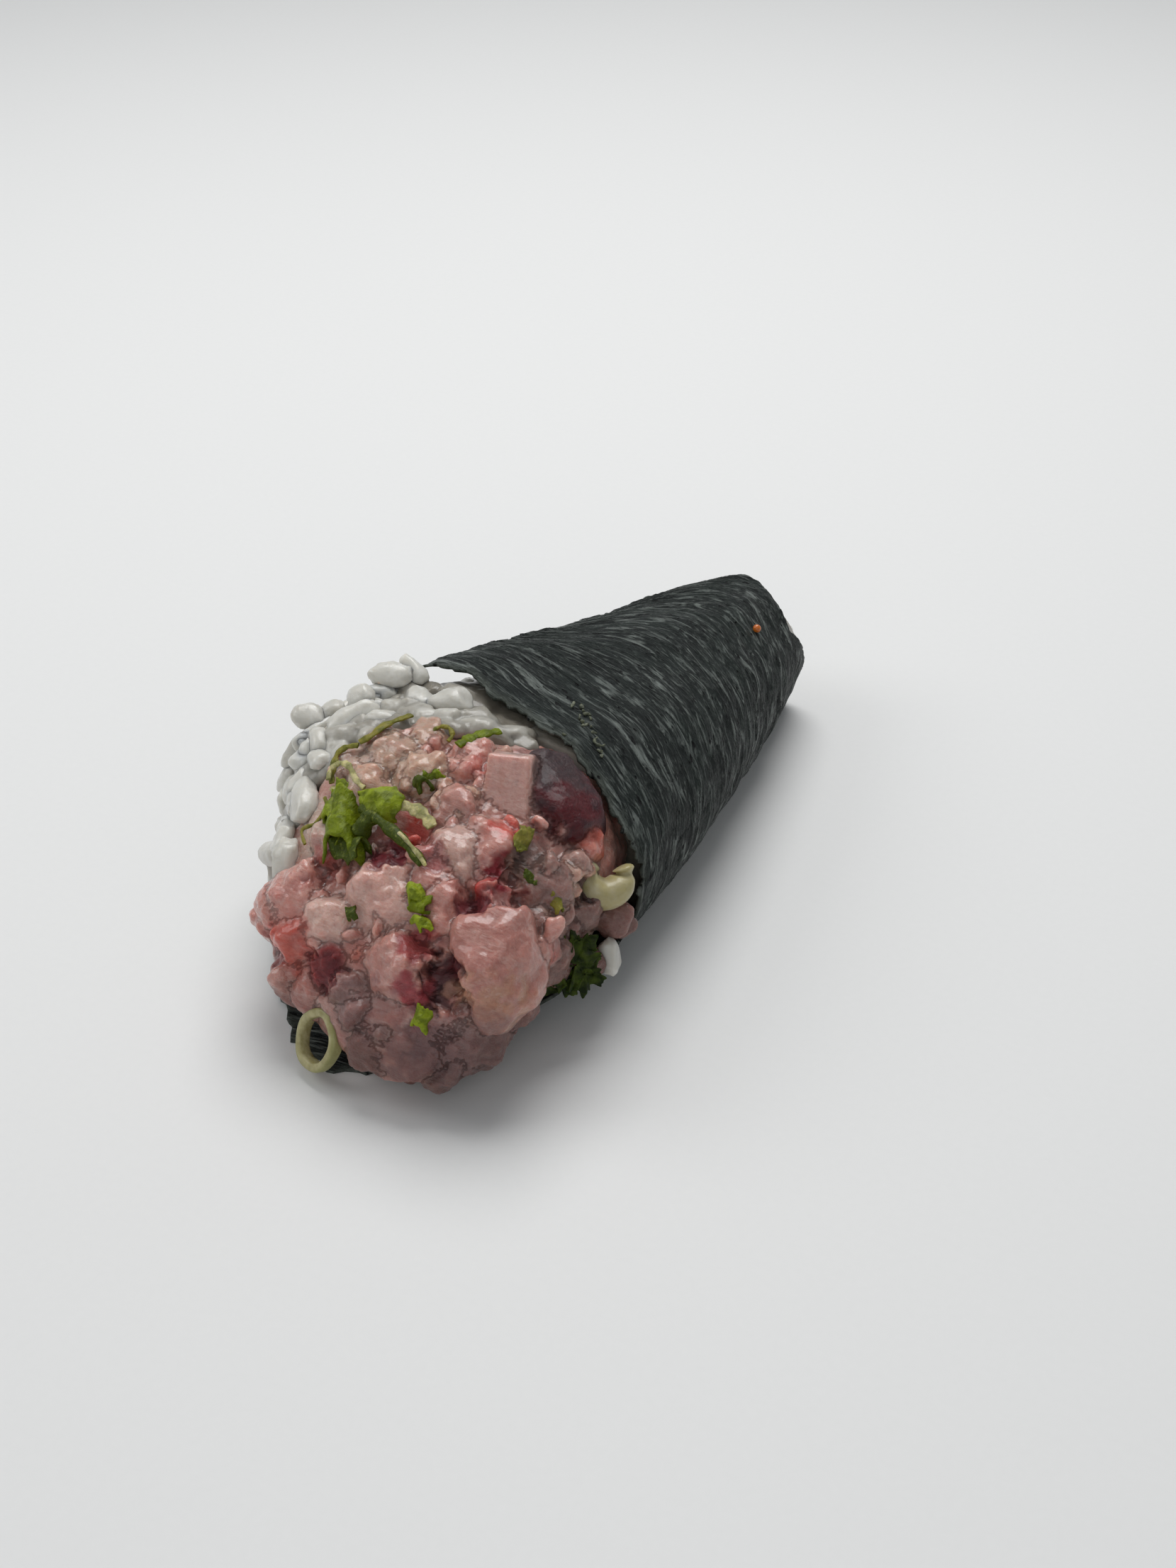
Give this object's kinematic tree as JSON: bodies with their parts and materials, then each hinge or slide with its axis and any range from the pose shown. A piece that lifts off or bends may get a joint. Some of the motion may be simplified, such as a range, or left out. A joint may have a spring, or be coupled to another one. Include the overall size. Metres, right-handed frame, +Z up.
{
  "type": "temaki hand roll",
  "caption": "Hand roll of sushi lying on its side: a cone of nori lined with rice and heaped at its mouth with chopped raw fish and spring onion.",
  "frame": {"origin": "middle of the roll's bounding box, on the surface it lies on", "axes": "+Y along the roll from its mouth to its tail, +Z up, +X to the right seen from the mouth"},
  "size_m": [0.0556, 0.1156, 0.0346],
  "materials": {
    "nori": "dry, ridged, slightly glossy",
    "rice": "moist, slightly translucent",
    "fish": "wet, translucent",
    "stalk": "moist",
    "green": "moist",
    "herb": "satin"
  },
  "bodies": {
    "root": {"nori_sheet": "nori", "sushi_rice": "rice", "chopped_fish": "fish", "scallion_ring": "stalk", "scallion_white": "stalk", "scallion_greens": "green", "herb_leaf": "herb", "scallion_shred_back": "green", "scallion_shred_top": "green", "scallion_shred_front": "green"}
  },
  "joints": []
}
